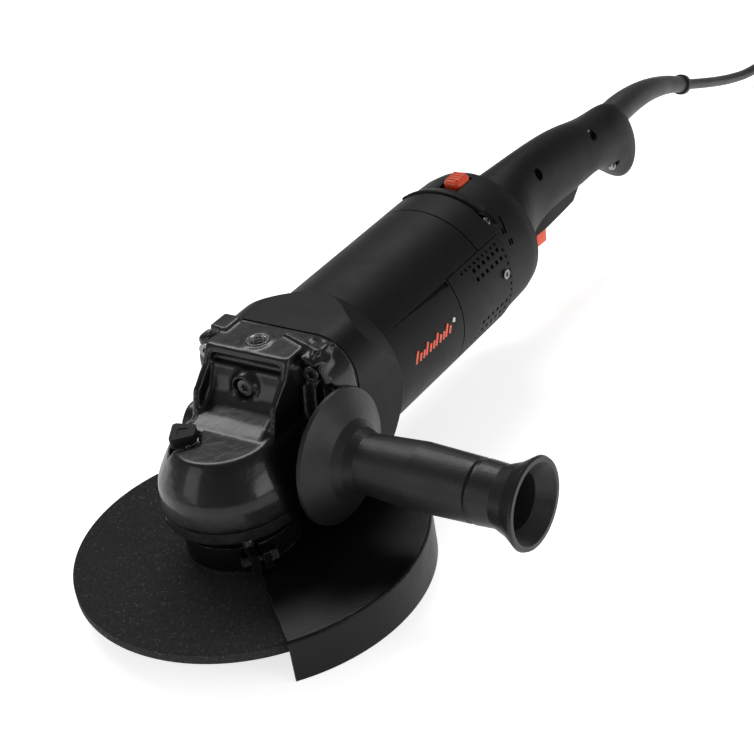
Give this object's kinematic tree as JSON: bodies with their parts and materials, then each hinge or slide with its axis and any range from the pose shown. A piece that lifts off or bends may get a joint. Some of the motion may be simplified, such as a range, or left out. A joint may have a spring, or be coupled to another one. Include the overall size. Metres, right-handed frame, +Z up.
{
  "type": "angle grinder",
  "caption": "Large corded angle grinder with side handle, adjustable wheel guard, swivelling trigger handle, geared spindle and a coiled mains lead.",
  "frame": {"origin": "centre of the spindle's free end, on the spindle axis", "axes": "+X runs back along the motor towards the cord, +Y to the tool's left, away from the side handle, +Z up the spindle away from the disc"},
  "size_m": [0.8557, 0.2488, 0.1168],
  "materials": {
    "cast_gloss": "die-cast aluminium, gloss black enamel",
    "body_plastic": "glass-filled nylon, fine matte grain",
    "handle_plastic": "moulded nylon, fine matte grain",
    "grip_plastic": "moulded grip, satin grain",
    "orange_plastic": "moulded orange, satin",
    "guard_steel": "pressed steel, black powder coat",
    "abrasive": "resin-bonded abrasive grit with glass mesh",
    "steel": "machined steel",
    "zinc_screw": "dark zinc plated",
    "gear_steel": "hardened and oiled",
    "die_cast": "bare die-cast aluminium",
    "lamination": "laminated electrical steel",
    "copper": "enamelled copper wire",
    "commutator_copper": "turned copper bars",
    "inner_plastic": "moulded nylon",
    "carbon": "graphite",
    "cord_rubber": "rubber sheath, semi-matte",
    "gasket_paper": "fibre gasket",
    "pin_metal": "nickel-plated brass"
  },
  "bodies": {
    "root": {"spindle_lower_bearing": "steel", "spindle_upper_bearing": "steel", "gear_housing": "cast_gloss", "bearing_retainer": "cast_gloss", "retainer_screws": "zinc_screw", "shaft_seal": "gasket_paper", "bearing_plate": "die_cast", "gear_case_screws": "zinc_screw", "housing_gasket": "gasket_paper", "spindle_lock_spring": "steel", "armature_front_bearing": "steel", "armature_rear_bearing": "steel", "fan_baffle": "inner_plastic", "stator_core": "lamination", "field_coils": "copper", "bearing_bracket": "inner_plastic", "bearing_sleeve": "gasket_paper", "carbon_brushes": "carbon", "brush_holders": "pin_metal", "brush_springs": "steel", "motor_housing": "body_plastic", "rear_housing": "body_plastic", "brush_cover_left": "body_plastic", "brush_cover_right": "body_plastic", "brush_cover_screws": "zinc_screw", "side_handle_grip": "grip_plastic", "side_handle_stud": "steel", "strain_relief": "cord_rubber", "cord_lead": "cord_rubber", "cord_tail": "cord_rubber", "cord_coil": "cord_rubber", "coil_tie": "cord_rubber", "cord_plug": "cord_rubber", "plug_pins": "pin_metal"},
    "spindle": {"spindle": "gear_steel", "bevel_gear": "gear_steel", "inner_flange": "steel", "grinding_disc": "abrasive", "flange_nut": "steel"},
    "armature": {"armature_shaft": "gear_steel", "pinion_gear": "gear_steel", "pinion_nut": "steel", "armature_core": "lamination", "armature_windings": "copper", "commutator": "commutator_copper", "cooling_fan": "inner_plastic"},
    "guard": {"wheel_guard": "guard_steel", "guard_clamp_screw": "zinc_screw"},
    "spindle_lock": {"spindle_lock_button": "body_plastic", "spindle_lock_pin": "steel"},
    "swivel_lock": {"swivel_lock_button": "orange_plastic"},
    "handle": {"handle_left_shell": "handle_plastic", "handle_right_shell": "handle_plastic", "handle_screws": "zinc_screw", "trigger_switch": "inner_plastic", "trigger_pin": "steel", "trigger_spring": "steel"},
    "trigger": {"switch_trigger": "handle_plastic"},
    "lock_off": {"lock_off_tab": "orange_plastic"}
  },
  "joints": [
    {"name": "spindle_spin", "type": "hinge", "parent": "root", "child": "spindle", "pos_m": [0, 0, 0], "axis": [0, 0, 1], "continuous": true},
    {"name": "armature_spin", "type": "hinge", "parent": "root", "child": "armature", "pos_m": [0.1, 0, 0.0655], "axis": [1, 0, 0], "continuous": true},
    {"name": "guard_adjust", "type": "hinge", "parent": "root", "child": "guard", "pos_m": [0, 0, 0.02], "axis": [0, 0, 1], "range_deg": [-90, 90]},
    {"name": "spindle_lock_press", "type": "slide", "parent": "root", "child": "spindle_lock", "axis": [0, 0, -1], "range_m": [0, 0.004], "stiffness_N_per_m": 600, "springref_m": -0.001, "deforming": ["spindle_lock_spring"]},
    {"name": "handle_swivel", "type": "hinge", "parent": "root", "child": "handle", "pos_m": [0.25, 0, 0.0655], "axis": [1, 0, 0], "range_deg": [-90, 90]},
    {"name": "swivel_lock_slide", "type": "slide", "parent": "root", "child": "swivel_lock", "axis": [-1, 0, 0], "range_m": [0, 0.004], "stiffness_N_per_m": 400, "springref_m": -0.001},
    {"name": "trigger_squeeze", "type": "hinge", "parent": "handle", "child": "trigger", "pos_m": [0.346, 0, 0.0525], "axis": [0, 1, 0], "range_deg": [0, 4.5], "stiffness_Nm_per_rad": 3, "springref_deg": -3.44, "deforming": ["trigger_spring"]},
    {"name": "lock_off_push", "type": "hinge", "parent": "trigger", "child": "lock_off", "pos_m": [0.273, 0, 0.0465], "axis": [0, 1, 0], "range_deg": [0, 18], "stiffness_Nm_per_rad": 0.05, "springref_deg": -17.19}
  ],
  "couplings": [
    {"joint": "armature_spin", "follows": "spindle_spin", "ratio": 3.3636}
  ]
}
